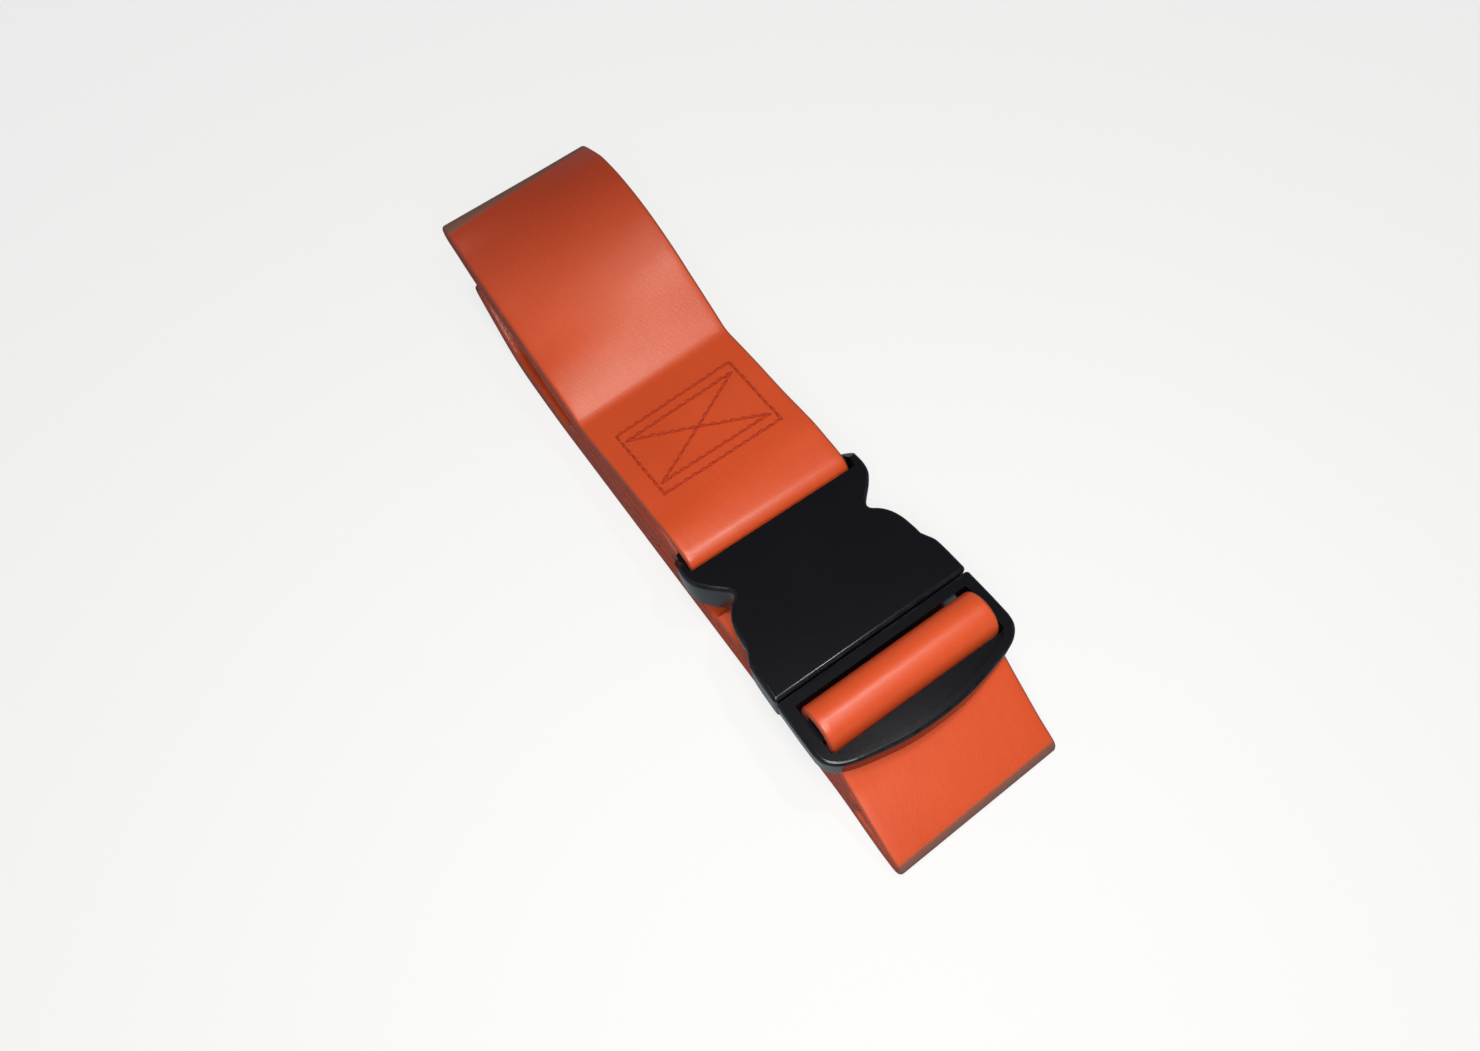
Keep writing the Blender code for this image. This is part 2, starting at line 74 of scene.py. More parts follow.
def lookup(rows, x):
    """Cubic look-up through (x, value) rows with rising x, level at both ends."""
    if x <= rows[0][0]:
        return rows[0][1]
    if x >= rows[-1][0]:
        return rows[-1][1]
    i = max(k for k in range(len(rows) - 1) if rows[k][0] <= x)

    def slope(k):
        if k == 0 or k == len(rows) - 1:
            return 0.0
        return (rows[k + 1][1] - rows[k - 1][1]) / (rows[k + 1][0] - rows[k - 1][0])

    (start, low), (end, high) = rows[i], rows[i + 1]
    gap = end - start
    t = (x - start) / gap
    return ((2 * t ** 3 - 3 * t ** 2 + 1) * low + (t ** 3 - 2 * t ** 2 + t) * gap * slope(i)
            + (3 * t ** 2 - 2 * t ** 3) * high + (t ** 3 - t ** 2) * gap * slope(i + 1))


def smooth(points, step=1.0):
    """Centripetal Catmull-Rom curve through the points."""
    pts = [Vector(p) for p in points]
    pts = [pts[0] * 2 - pts[1]] + pts + [pts[-1] * 2 - pts[-2]]
    curve = [pts[1].copy()]
    for i in range(len(pts) - 3):
        quad = pts[i:i + 4]
        knots = [0.0]
        for a, b in zip(quad, quad[1:]):
            knots.append(knots[-1] + max((b - a).length, 1e-6) ** 0.5)
        count = max(2, int(math.ceil((quad[2] - quad[1]).length / step)))
        for k in range(1, count + 1):
            t = knots[1] + (knots[2] - knots[1]) * k / count

            def between(a, b, start, end):
                return a * ((end - t) / (end - start)) + b * ((t - start) / (end - start))

            lines = [between(quad[j], quad[j + 1], knots[j], knots[j + 1]) for j in range(3)]
            bends = [between(lines[j], lines[j + 1], knots[j], knots[j + 2]) for j in range(2)]
            curve.append(between(*bends, knots[1], knots[2]))
    return curve


def arc(x, z, radius, start, end, steps=14):
    """Points round a centre, with the angles in degrees."""
    angles = [math.radians(start + (end - start) * k / steps) for k in range(steps + 1)]
    return [Vector((x + radius * math.cos(a), z + radius * math.sin(a))) for a in angles]


def resample(points, step):
    """Even samples along a polyline, corners softened by a short running mean."""
    pts = [np.array(p, float) for p in points]
    kept = [pts[0]]
    for p in pts[1:]:
        if np.linalg.norm(p - kept[-1]) > 1e-4:
            kept.append(p)
    kept = np.array(kept)
    lengths = np.linalg.norm(np.diff(kept, axis=0), axis=1)
    along = np.concatenate([[0], np.cumsum(lengths)])
    even = np.linspace(0, along[-1], int(round(along[-1] / step)) + 1)
    line = np.stack([np.interp(even, along, kept[:, 0]), np.interp(even, along, kept[:, 1])], 1)
    for _ in range(2):
        line[1:-1] = line[1:-1] * 0.5 + (line[:-2] + line[2:]) * 0.25
    return line, even


def make_object(name, bm, material=None):
    mesh = bpy.data.meshes.new(name)
    bm.to_mesh(mesh)
    bm.free()
    if material:
        mesh.materials.append(material)
    ob = bpy.data.objects.new(name, mesh)
    scene.collection.objects.link(ob)
    return ob


# =====================================================================================
# materials
# =====================================================================================
class Nodes:
    """Node tree of a material or world, with short forms for the nodes used here."""

    def __init__(self, owner, shader="Principled BSDF", output="Material Output"):
        owner.use_nodes = True
        self.tree = owner.node_tree
        self.shader = self.tree.nodes[shader]
        self.output = self.tree.nodes[output]

    def put(self, node, inputs):
        """Links or sets each input of a node."""
        for key, value in inputs.items():
            if isinstance(value, bpy.types.NodeSocket):
                self.tree.links.new(value, node.inputs[key])
            else:
                node.inputs[key].default_value = value

    def node(self, kind, inputs=None, **settings):
        node = self.tree.nodes.new(kind)
        for key, value in settings.items():
            setattr(node, key, value)
        self.put(node, inputs or {})
        return node

    def math(self, operation, a, b, clamp=False):
        node = self.node("ShaderNodeMath", {0: a, 1: b}, operation=operation, use_clamp=clamp)
        return node.outputs[0]

    def plus(self, a, b, clamp=False):
        return self.math("ADD", a, b, clamp)

    def minus(self, a, b, clamp=False):
        return self.math("SUBTRACT", a, b, clamp)

    def times(self, a, b):
        return self.math("MULTIPLY", a, b)

    def sine(self, a):
        return self.math("SINE", a, 0.0)

    def phase(self, coordinate, period):
        return self.times(coordinate, 2 * math.pi / period)

    def mix(self, mask, under, over, amount=None):
        """Lays one colour over another where the mask is 1, at the given strength."""
        if amount is not None:
            mask = self.times(mask, amount)
        inputs = {0: mask}
        for key, colour in ((6, under), (7, over)):
            inputs[key] = (*colour, 1.0) if isinstance(colour, tuple) else colour
        return self.node("ShaderNodeMix", inputs, data_type="RGBA", blend_type="MIX").outputs[2]

    def mix_shader(self, mask, first, second):
        return self.node("ShaderNodeMixShader", {0: mask, 1: first, 2: second}).outputs[0]

    def ramp(self, value, start, end, first=0.0, last=1.0):
        """Goes from the first grey or colour at start to the last at end."""
        node = self.node("ShaderNodeValToRGB", {0: value})
        for stop, place, shade in zip(node.color_ramp.elements, (start, end), (first, last)):
            stop.position = place
            stop.color = (*shade, 1.0) if isinstance(shade, tuple) else (shade,) * 3 + (1.0,)
        return node.outputs[0]

    def noise(self, vector, scale, detail, roughness, amount=None):
        node = self.node("ShaderNodeTexNoise", {"Scale": scale, "Detail": detail,
                                                "Roughness": roughness, "Vector": vector})
        value = node.outputs["Fac"]
        return value if amount is None else self.times(value, amount)

    def mapped(self, vector, scale, rotation=(0.0, 0.0, 0.0)):
        inputs = {"Vector": vector, "Rotation": rotation, "Scale": scale}
        return self.node("ShaderNodeMapping", inputs).outputs[0]

    def strap_uv(self):
        return self.node("ShaderNodeUVMap", uv_map="strap_uv").outputs[0]

    def split(self, vector):
        return self.node("ShaderNodeSeparateXYZ", {0: vector}).outputs

    def coordinates(self, kind):
        return self.node("ShaderNodeTexCoord").outputs[kind]

    def attribute(self, name):
        return self.node("ShaderNodeAttribute", attribute_name=name).outputs["Fac"]

    def camera_ray(self):
        return self.node("ShaderNodeLightPath").outputs["Is Camera Ray"]

    def surface(self, colour, roughness, specular):
        self.put(self.shader, {"Base Color": colour, "Roughness": roughness,
                               "Specular IOR Level": specular})

    def bump(self, height, strength, distance):
        inputs = {"Strength": strength, "Distance": distance, "Height": height}
        normal = self.node("ShaderNodeBump", inputs).outputs[0]
        self.put(self.shader, {"Normal": normal})
        return normal


def vinyl_webbing(name, shade=1.0):
    """Orange coated webbing whose weave shows faintly; the UV is (along, across) in cm."""
    material = bpy.data.materials.new(name)
    mat = Nodes(material)
    uv = mat.strap_uv()
    along, across = mat.split(uv)[:2]
    rim = mat.attribute("rim")
    fold = mat.attribute("fold")

    def tint(*colour):
        return tuple(k * shade for k in colour)

    light_orange = tint(0.610, 0.074, 0.0150)
    deep_orange = tint(0.550, 0.063, 0.0120)
    streak_orange = tint(0.52, 0.052, 0.010)
    speck_brown = (0.36, 0.035, 0.013)
    # colour of the painted shade towards the top fold
    shaded_orange = (0.330, 0.034, 0.0100)
    scuff_grey = (0.135, 0.070, 0.052)
    rim_brown = (0.20, 0.040, 0.024)

    # broad mottling, a faint lengthwise streak and a fine speckle
    broad = mat.noise(uv, scale=0.35, detail=3.0, roughness=0.55)
    stretched = mat.mapped(uv, scale=(0.15, 4.0, 1.0))
    streak = mat.noise(stretched, scale=3.0, detail=3.0, roughness=0.6)
    speck = mat.noise(uv, scale=38.0, detail=2.0, roughness=0.6)
    colour = mat.mix(mat.ramp(broad, 0.3, 0.7), light_orange, deep_orange)
    colour = mat.mix(mat.ramp(streak, 0.42, 0.62), colour, streak_orange, amount=0.22)
    specks = mat.ramp(speck, 0.35, 0.62, first=1.0, last=0.0)
    colour = mat.mix(specks, colour, speck_brown, amount=0.10)

    # painted shade: the colour is darkened towards the top fold of the upper layer, where less
    # light falls
    colour = mat.mix(mat.attribute("painted_shade"), colour, shaded_orange, amount=0.85)

    # scuffed folds, broken up by noise, and darkened long edges
    scuffs = mat.noise(uv, scale=9.0, detail=4.0, roughness=0.7)
    fray = mat.plus(mat.times(fold, 1.25), mat.times(mat.minus(scuffs, 0.5), 1.1))
    worn = mat.times(mat.ramp(fray, 0.10, 0.85), mat.ramp(fold, 0.0, 0.30))
    colour = mat.mix(worn, colour, scuff_grey, amount=0.88)
    patches = mat.noise(uv, scale=14.0, detail=3.0, roughness=0.6)
    edge = mat.times(mat.ramp(rim, 0.30, 0.80), mat.ramp(patches, 0.25, 0.7, first=0.65))
    colour = mat.mix(edge, colour, rim_brown, amount=0.80)

    # satin coating, rougher where scuffed and at the rim
    base_roughness, worn_gain, edge_gain = 0.37, 0.32, 0.22
    roughness = mat.plus(base_roughness,
                         mat.noise(uv, scale=5.0, detail=4.0, roughness=0.6, amount=0.12))
    roughness = mat.plus(roughness, mat.times(worn, worn_gain))
    roughness = mat.plus(roughness, mat.times(edge, edge_gain), clamp=True)
    mat.surface(colour, roughness, specular=0.50)

    # relief: twill and warp ribs under a leather-like grain, broad waves and creased folds
    twill = mat.sine(mat.plus(mat.phase(along, period=0.26), mat.phase(across, period=0.15)))
    warp = mat.sine(mat.phase(across, period=0.30))
    warp_share, weave_height, cell_height, crease_height = 0.8, 0.009, 0.05, 0.35
    weave = mat.times(mat.plus(twill, mat.times(warp, warp_share)), weave_height)
    cells = mat.node("ShaderNodeTexVoronoi", {"Scale": 26.0, "Smoothness": 0.4, "Vector": uv},
                     feature="SMOOTH_F1")
    grain = mat.times(cells.outputs["Distance"], cell_height)
    grain = mat.plus(grain, mat.noise(uv, scale=60.0, detail=2.0, roughness=0.6, amount=0.10))
    grain = mat.plus(grain, mat.noise(uv, scale=18.0, detail=3.0, roughness=0.7, amount=0.24))
    waves = mat.noise(uv, scale=0.9, detail=2.0, roughness=0.5, amount=0.10)
    creases = mat.noise(uv, scale=16.0, detail=4.0, roughness=0.7)
    creases = mat.times(mat.times(creases, worn), crease_height)
    height = mat.plus(mat.plus(weave, grain), mat.plus(waves, creases))
    normal = mat.bump(height, strength=0.55, distance=0.00035)
    mat.put(mat.shader, {"Coat Weight": 0.22, "Coat Roughness": 0.15, "Coat Normal": normal})
    return material


def thread_material(name):
    """Orange thread with its twist showing; the UV is (along in cm, turns round the thread)."""
    material = bpy.data.materials.new(name)
    mat = Nodes(material)
    orange = (0.50, 0.046, 0.012)
    twist_shadow = tuple(0.75 * k for k in orange)
    fuzz_shadow = tuple(0.6 * k for k in orange)
    along, around = mat.split(mat.strap_uv())[:2]
    twist = mat.sine(mat.plus(mat.phase(along, period=0.06), mat.phase(around, period=1.0)))
    fuzz = mat.noise(mat.coordinates("Object"), scale=2500.0, detail=3.0, roughness=0.6)
    colour = mat.mix(mat.plus(twist, 1.0), twist_shadow, orange, amount=0.5)
    colour = mat.mix(fuzz, colour, fuzz_shadow, amount=0.30)
    base_roughness, fuzz_gain, fuzz_height = 0.5, 0.25, 0.6
    mat.surface(colour, mat.plus(base_roughness, mat.times(fuzz, fuzz_gain)), specular=0.25)
    mat.bump(mat.plus(twist, mat.times(fuzz, fuzz_height)), strength=0.7, distance=0.00008)
    return material


def hole_shade_material(name):
    """Matt, darker orange: painted shade of the needle holes."""
    material = bpy.data.materials.new(name)
    mat = Nodes(material)
    light, dark = (0.40, 0.038, 0.011), (0.30, 0.030, 0.010)
    base_roughness, roughness_gain = 0.6, 0.3
    grain = mat.noise(mat.coordinates("Object"), scale=1800.0, detail=3.0, roughness=0.6)
    mat.surface(mat.mix(grain, light, dark),
                mat.plus(base_roughness, mat.times(grain, roughness_gain)), specular=0.2)
    mat.bump(grain, strength=0.5, distance=0.00005)
    return material


def moulded_plastic(name, base_roughness):
    """Black plastic with a fine grain, polished and greyed at its edges."""
    material = bpy.data.materials.new(name)
    mat = Nodes(material)
    black, soft_black = (0.0030, 0.0033, 0.0052), (0.0042, 0.0043, 0.0062)
    grain_grey, rubbed_grey = (0.0075, 0.0076, 0.0095), (0.018, 0.020, 0.026)
    place = mat.coordinates("Object")
    broad = mat.noise(place, scale=45.0, detail=3.0, roughness=0.5)
    fine = mat.noise(place, scale=1500.0, detail=3.0, roughness=0.65)
    medium = mat.noise(place, scale=320.0, detail=4.0, roughness=0.6)
    colour = mat.mix(mat.ramp(broad, 0.3, 0.7), black, soft_black)
    colour = mat.mix(fine, colour, grain_grey, amount=0.35)
    edge = mat.ramp(mat.attribute("edge_wear"), 0.2, 0.9)
    rubbed = mat.times(edge, mat.ramp(medium, 0.40, 0.65, first=0.15))
    colour = mat.mix(rubbed, colour, rubbed_grey, amount=0.55)
    medium_gain, rubbed_loss = 0.03, 0.10
    roughness = mat.plus(base_roughness, mat.times(medium, medium_gain))
    roughness = mat.minus(roughness, mat.times(rubbed, rubbed_loss), clamp=True)
    mat.surface(colour, roughness, specular=0.30)

    # sparse fine scratches, each a thin band of a stretched noise
    stretched = mat.mapped(place, scale=(18.0, 900.0, 18.0), rotation=(0.0, 0.0, 0.6))
    bands = mat.noise(stretched, scale=1.0, detail=2.0, roughness=0.5)
    scratches = mat.ramp(bands, 0.68, 0.72)
    fine_height, medium_height, scratch_depth = 0.5, 0.08, 0.06
    height = mat.plus(mat.times(fine, fine_height), mat.times(medium, medium_height))
    height = mat.minus(height, mat.times(scratches, scratch_depth))
    mat.bump(height, strength=0.35, distance=0.00006)
    return material


MAT_FIXED = vinyl_webbing("vinyl_webbing_fixed")
MAT_ADJUSTABLE = vinyl_webbing("vinyl_webbing_adjustable", shade=1.02)
MAT_THREAD = thread_material("thread_orange")
MAT_HOLE_SHADE = hole_shade_material("needle_hole")
MAT_HOUSING = moulded_plastic("acetal_housing", base_roughness=0.21)
MAT_PLUG = moulded_plastic("acetal_plug", base_roughness=0.19)
MAT_PRONG = moulded_plastic("acetal_prong", base_roughness=0.198)


# =====================================================================================
# webbing
# =====================================================================================
STATION_STEP = 0.9          # between cross-sections
FACE_STEPS = 30             # across each flat face
EDGE_POINTS = 7             # round each long edge
EDGE_R = 1.05

# (x, rise of the +y edge); the -y edge falls as much
LEAN = [(-134, 0.0), (-127, 1.6), (-118, 4.2), (-98, 5.8), (-84, 5.2), (-73, 3.6), (-58, 2.6),
        (-43, 2.0), (-30, 1.0), (-18, 0.8), (-9, 0.0)]


def warp_fixed(x, y, z, along):
    """Leans the hump, skews its top fold a little and adds slow ripples."""
    settle = 1.0
    if along > top_fold:               # the run below relaxes back to level
        settle = smoothstep(-80.0, -112.0, x)
    z += lookup(LEAN, x) * settle * y / HALF_WIDTH
    if z > 18:
        x -= y * 0.062 * smoothstep(-78.0, -128.0, x)
    z += 0.15 * math.sin(x * 0.115 + y * 0.045) * smoothstep(-66.0, -96.0, x)
    return x, y, z


def warp_adjustable(x, y, z, along):
    """Drifts both ends sideways and skews the +x fold."""
    y += 0.9 * smoothstep(-70.0, -126.0, x) - 0.6 * smoothstep(60.0, 80.0, x)
    x -= y * 0.022 * smoothstep(66.0, 80.0, x)
    return x, y, z


def section():
    """(y, height) once round the webbing: upper face, +y edge, lower face, -y edge."""
    flat = HALF_WIDTH - EDGE_R
    upper = [(-flat + (2 * flat) * k / FACE_STEPS, HALF_THICK) for k in range(FACE_STEPS + 1)]
    plus_edge = [(flat + EDGE_R * math.sin(a), HALF_THICK * math.cos(a))
                 for a in np.linspace(0, math.pi, EDGE_POINTS + 2)[1:-1]]
    lower = [(y, -HALF_THICK) for y, _ in reversed(upper)]
    minus_edge = [(-y, height) for y, height in reversed(plus_edge)]
    return upper + plus_edge + lower + minus_edge


SECTION = section()

# place along the ribbon, half length, slant across it, scuff strength and sense of turn
Fold = namedtuple("Fold", "along half slant strength sense")


class Ribbon:
    """Webbing swept along an (x, z) centre line.

    A place on it is (distance along, y, height off the mid-plane).
    """

    def __init__(self, line, warp):
        self.line, self.along = resample(line, STATION_STEP)
        self.warp = warp
        tangent = np.gradient(self.line, axis=0)
        tangent /= np.linalg.norm(tangent, axis=1)[:, None]
        self.normal = np.stack([-tangent[:, 1], tangent[:, 0]], 1)
        heading = np.unwrap(np.arctan2(tangent[:, 1], tangent[:, 0]))
        self.curvature = np.gradient(heading, self.along)      # signed, 1/mm
        self.folds = self.find_folds()

    def find_folds(self):
        """Every tight bend is a lightly scuffed fold."""
        tight = np.abs(self.curvature) > 0.25
        folds = []
        i = 0
        while i < len(tight):
            j = i
            while j < len(tight) and tight[j]:
                j += 1
            if j > i + 2:
                start, end = self.along[i], self.along[j - 1]
                sense = 1.0 if self.curvature[(i + j) // 2] > 0 else -1.0
                folds.append(Fold((start + end) / 2, (end - start) * 0.5 + 0.4, 0.0, 0.55, sense))
            i = max(j, i + 1)
        return folds

    def scuff_outer_fold(self, x, z, half, slant):
        """Replaces the fold near (x, z) by a fully scuffed one."""
        along = self.nearest(x, z)
        sense = 1.0 if np.interp(along, self.along, self.curvature) > 0 else -1.0
        self.folds = [fold for fold in self.folds if abs(fold.along - along) > 4.0]
        self.folds.append(Fold(along, half, slant, 1.0, sense))

    def sample(self, rows, along):
        return [np.interp(along, self.along, column) for column in rows.T]

    def at(self, along, y, height):
        x, z = self.sample(self.line, along)
        normal_x, normal_z = self.sample(self.normal, along)
        length = math.hypot(normal_x, normal_z)
        return Vector(self.warp(x + normal_x / length * height, y,
                                z + normal_z / length * height, along))

    def nearest(self, x, z):
        return min((math.hypot(p[0] - x, p[1] - z), s) for p, s in zip(self.line, self.along))[1]

    def crossing(self, x, along=(-INF, INF), heights=(-INF, INF)):
        """Distance along at which the centre line passes x, within the two ranges."""
        return min((abs(p[0] - x), s) for p, s in zip(self.line, self.along)
                   if along[0] < s < along[1] and heights[0] < p[1] < heights[1])[1]

    def scuff(self, along, y, height):
        """How worn a place is: only the outside of a fold is scuffed."""
        worn = 0.0
        for fold in self.folds:
            if abs(along - fold.along) < 9.0 and -fold.sense * height > -0.2:
                off = abs(along - fold.along - fold.slant * (y / HALF_WIDTH - 1))
                worn = max(worn, (1 - smoothstep(0.45 * fold.half, fold.half, off))
                           * fold.strength)
        return worn

    def mesh(self, name, material, start=None, end=None):
        start = self.along[0] if start is None else start
        end = self.along[-1] if end is None else end
        stations = [start] + [s for s in self.along if start + 0.2 < s < end - 0.2] + [end]
        bm = bmesh.new()
        uv_layer = bm.loops.layers.uv.new("strap_uv")
        rim, fold, painted_shade = (bm.verts.layers.float.new(n) for n in ("rim", "fold", "painted_shade"))
        rings, uvs = [], {}
        for along in stations:
            line_x, line_z = self.sample(self.line, along)
            ring = []
            for y, height in SECTION:
                vert = bm.verts.new(self.at(along, y, height) * MM)
                vert[rim] = smoothstep(HALF_WIDTH - 1.15, HALF_WIDTH - 0.1, abs(y))
                vert[fold] = self.scuff(along, y, height)
                # painted shade: 0 near the buckle, rising to 1 towards the top fold on the upper
                # layer
                vert[painted_shade] = smoothstep(-78.0, -126.0, line_x - 0.25 * y) if line_z > 24.0 else 0.0
                uvs[vert] = (along / 10.0, y / 10.0)
                ring.append(vert)
            rings.append(ring)
        count = len(SECTION)
        for a, b in zip(rings, rings[1:]):
            for i in range(count):
                j = (i + 1) % count
                bm.faces.new((a[i], a[j], b[j], b[i]))
        caps = [face for ring in (rings[0], rings[-1]) for face in self.cap(bm, ring)]
        for face in bm.faces:
            face.smooth = True
            for loop in face.loops:
                loop[uv_layer].uv = uvs[loop.vert]
        bmesh.ops.recalc_face_normals(bm, faces=bm.faces)
        for face in caps:
            face.smooth = False
            for edge in face.edges:
                if len([other for other in edge.link_faces if other in caps]) == 1:
                    edge.smooth = False
        return make_object(name, bm, material)

    @staticmethod
    def cap(bm, ring):
        """Closes an end in strips, which stay clean where the webbing is bent."""
        face_points = FACE_STEPS + 1
        lower_start = face_points + EDGE_POINTS
        lower_end = lower_start + face_points
        upper, plus_edge = ring[:face_points], ring[face_points:lower_start]
        lower, minus_edge = ring[lower_start:lower_end][::-1], ring[lower_end:]
        faces = [bm.faces.new((upper[i], upper[i + 1], lower[i + 1], lower[i]))
                 for i in range(FACE_STEPS)]
        faces.append(bm.faces.new([upper[-1]] + plus_edge + [lower[-1]]))
        faces.append(bm.faces.new([lower[0]] + minus_edge + [upper[0]]))
        return faces


# straight (x, z) line of the upper layer sewn beside the buckle
SEAM_START, SEAM_END = (-54.0, 23.2), (-16.0, 26.4)
SEAM_SLOPE = math.atan2(SEAM_END[1] - SEAM_START[1], SEAM_END[0] - SEAM_START[0])


def on_seam(x, below=0.0):
    z = SEAM_START[1] + (x - SEAM_START[0]) * math.tan(SEAM_SLOPE)
    return (x + below * math.sin(SEAM_SLOPE), z - below * math.cos(SEAM_SLOPE))


BAR_X, BAR_Z = -5.2, 21.8   # centre of the turn round the housing bar
BAR_WRAP_R = 4.3
FOLD_R = 1.9                # the tight inner folds
LOOP_X = 79.0               # where the +x fold joins the runs on either side of it

# centre lines, as (x, z)
fixed_line = (
    # under layer of the buckle seam, round the bar and back as the upper layer
    smooth([on_seam(-51.0, PLY), on_seam(-36.0, PLY), on_seam(-24.0, PLY), on_seam(-20.5, PLY),
            (-15.6, 21.4), (-11.6, 19.3), (-8.2, 17.95),
            (BAR_X - 1.2, BAR_Z - BAR_WRAP_R + 0.12)])[:-1]
    + arc(BAR_X, BAR_Z, BAR_WRAP_R, -98, 68, 22)
    # over the hump to the top fold
    + smooth([(-6.0, 26.16), (-8.4, 26.44), (-11.2, 26.60), (-14.4, 26.58), on_seam(-19.0),
              on_seam(-24.0), on_seam(-36.0), on_seam(-47.0), on_seam(-53.5), (-57.0, 22.93),
              (-58.6, 23.15), (-60.4, 23.92), (-64.0, 25.60), (-73.0, 29.25), (-85.0, 33.35),
              (-97.0, 36.85), (-108.0, 39.3), (-118.0, 40.6), (-125.0, 40.8), (-129.6, 40.5)])
    + arc(-129.8, 38.5, 2.0, 90, 270)[1:]
    # back below the hump
    + smooth([(-128.0, 36.4), (-124.0, 36.0), (-115.0, 34.4), (-104.0, 31.2), (-94.0, 27.6),
              (-84.0, 23.6), (-74.0, 19.9), (-64.0, 17.6), (-54.0, 16.8), (-44.0, 16.7),
              (-30.0, 16.4), (-20.0, 15.8), (-12.6, 15.3)])
    + arc(-12.4, 13.3, FOLD_R, 90, -90)[1:]
    # the two sewn layers of the end loop
    + smooth([(-14.5, 11.3), (-19.0, 11.2), (-30.0, 11.2), (-43.0, 11.2), (-52.0, 11.6),
              (-60.0, 11.95), (-65.6, 11.9)])
    + arc(-65.9, 10.0, FOLD_R, 90, 270)[1:]
    + smooth([(-64.0, 8.1), (-58.0, 8.15), (-50.0, 8.5), (-43.0, 8.7), (-30.0, 8.7),
              (-19.5, 8.7)])
)

adjustable_line = (
    # free end, up and over the plug bar, then down to the +x fold
    smooth([(64.6, 11.1), (60.0, 13.2), (56.0, 14.6), (52.0, 15.9), (48.9, 17.6), (47.1, 20.2),
            (46.35, 23.0)])[:-1]
    + arc(51.5, 25.2, 5.2, 180, 0, 24)
    + smooth([(56.72, 24.2), (56.9, 22.5), (57.6, 20.2), (59.4, 18.0), (62.0, 16.3),
              (66.0, 13.75), (70.0, 11.64), (75.0, 9.0), (LOOP_X, 6.89), (81.0, 5.83)])
    + arc(82.5, 2.95, 1.85, 62, -90, 16)
    # flat on the floor, then up to the fold at the -x end
    + [(80.0, HALF_THICK), (LOOP_X, HALF_THICK), (-95.0, HALF_THICK)]
    + smooth([(-99.0, 1.25), (-104.5, 2.5), (-110.0, 5.7), (-115.0, 10.1), (-119.2, 14.3),
              (-120.8, 16.1)])
    + smooth([(-122.2, 17.9), (-122.9, 19.4), (-122.2, 20.7), (-120.7, 20.8), (-119.5, 19.5)],
             step=0.5)
    + smooth([(-118.4, 17.7), (-117.3, 16.1), (-113.2, 11.85), (-108.3, 7.6), (-103.2, 4.95),
              (-97.5, 4.38), (-90.0, 4.4)])
    # the two sewn layers of the base loop
    + smooth([(-20.0, 4.4), (-8.0, 5.1), (2.0, 6.6), (8.0, 7.4), (12.0, 7.6), (36.0, 7.6),
              (41.0, 7.3), (49.0, 5.6), (57.0, 4.55), (64.0, 4.4)])
    + arc(66.0, 6.3, FOLD_R, -90, 90)
    + smooth([(64.0, 8.25), (57.0, 8.5), (49.0, 9.1), (41.0, 9.95), (36.0, 10.1), (12.0, 10.1),
              (9.0, 10.1)])
)

fixed = Ribbon(fixed_line, warp_fixed)
top_fold = fixed.nearest(-131.8, 38.5)
adjustable = Ribbon(adjustable_line, warp_adjustable)

# the two outer folds are scuffed most
fixed.scuff_outer_fold(x=-130.6, z=40.2, half=2.6, slant=0.45)
adjustable.scuff_outer_fold(x=84.15, z=3.8, half=2.1, slant=0.0)


def register(ob, body, replaced=None):
    """Tells the frame what an object rides on and the CAD piece it replaces."""
    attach(ob, body)
    if replaced:
        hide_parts(replaced)


loop_start = adjustable.crossing(LOOP_X, along=(-INF, 90), heights=(3.5, INF))
loop_end = adjustable.crossing(LOOP_X, along=(-INF, 120), heights=(-INF, 2.0))

register(fixed.mesh("webbing_fixed_half", MAT_FIXED), "fixed_strap", "fixed_webbing")
register(adjustable.mesh("webbing_adjuster_run", MAT_ADJUSTABLE, end=loop_start),
         "upper_run", "adjuster_webbing")
register(adjustable.mesh("webbing_base_run", MAT_ADJUSTABLE, start=loop_end),
         "base", "base_webbing")
webbing_fold = adjustable.mesh("webbing_bottom_fold", MAT_ADJUSTABLE, loop_start, loop_end)
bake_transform(webbing_fold)
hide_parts("bottom_fold")


# =====================================================================================
# stitching
# =====================================================================================
SEAM_HALF_Y = 19.0
SEAM_INSET = 3.4            # inner rows from the ends of the box
STITCH_PITCH = 2.75
STITCH_LENGTH = 2.4         # of thread texture on one stitch
STITCH_STEPS = 9
THREAD_R = 0.38
THREAD_SIDES = 8
HOLE_SIDES = 10


def seam_rows(start, end):
    """Box, two inner rows and a cross, as (along, y) end pairs."""
    y = SEAM_HALF_Y
    inner_start, inner_end = start + SEAM_INSET, end - SEAM_INSET
    return [((start, -y), (start, y)),
            ((end, -y), (end, y)),
            ((start, -y), (end, -y)),
            ((start, y), (end, y)),
            ((inner_start, -y + 1.3), (inner_start, y - 1.3)),
            ((inner_end, -y + 1.3), (inner_end, y - 1.3)),
            ((inner_start, -y + 1.6), (inner_end, y - 1.6)),
            ((inner_start, y - 1.6), (inner_end, -y + 1.6))]


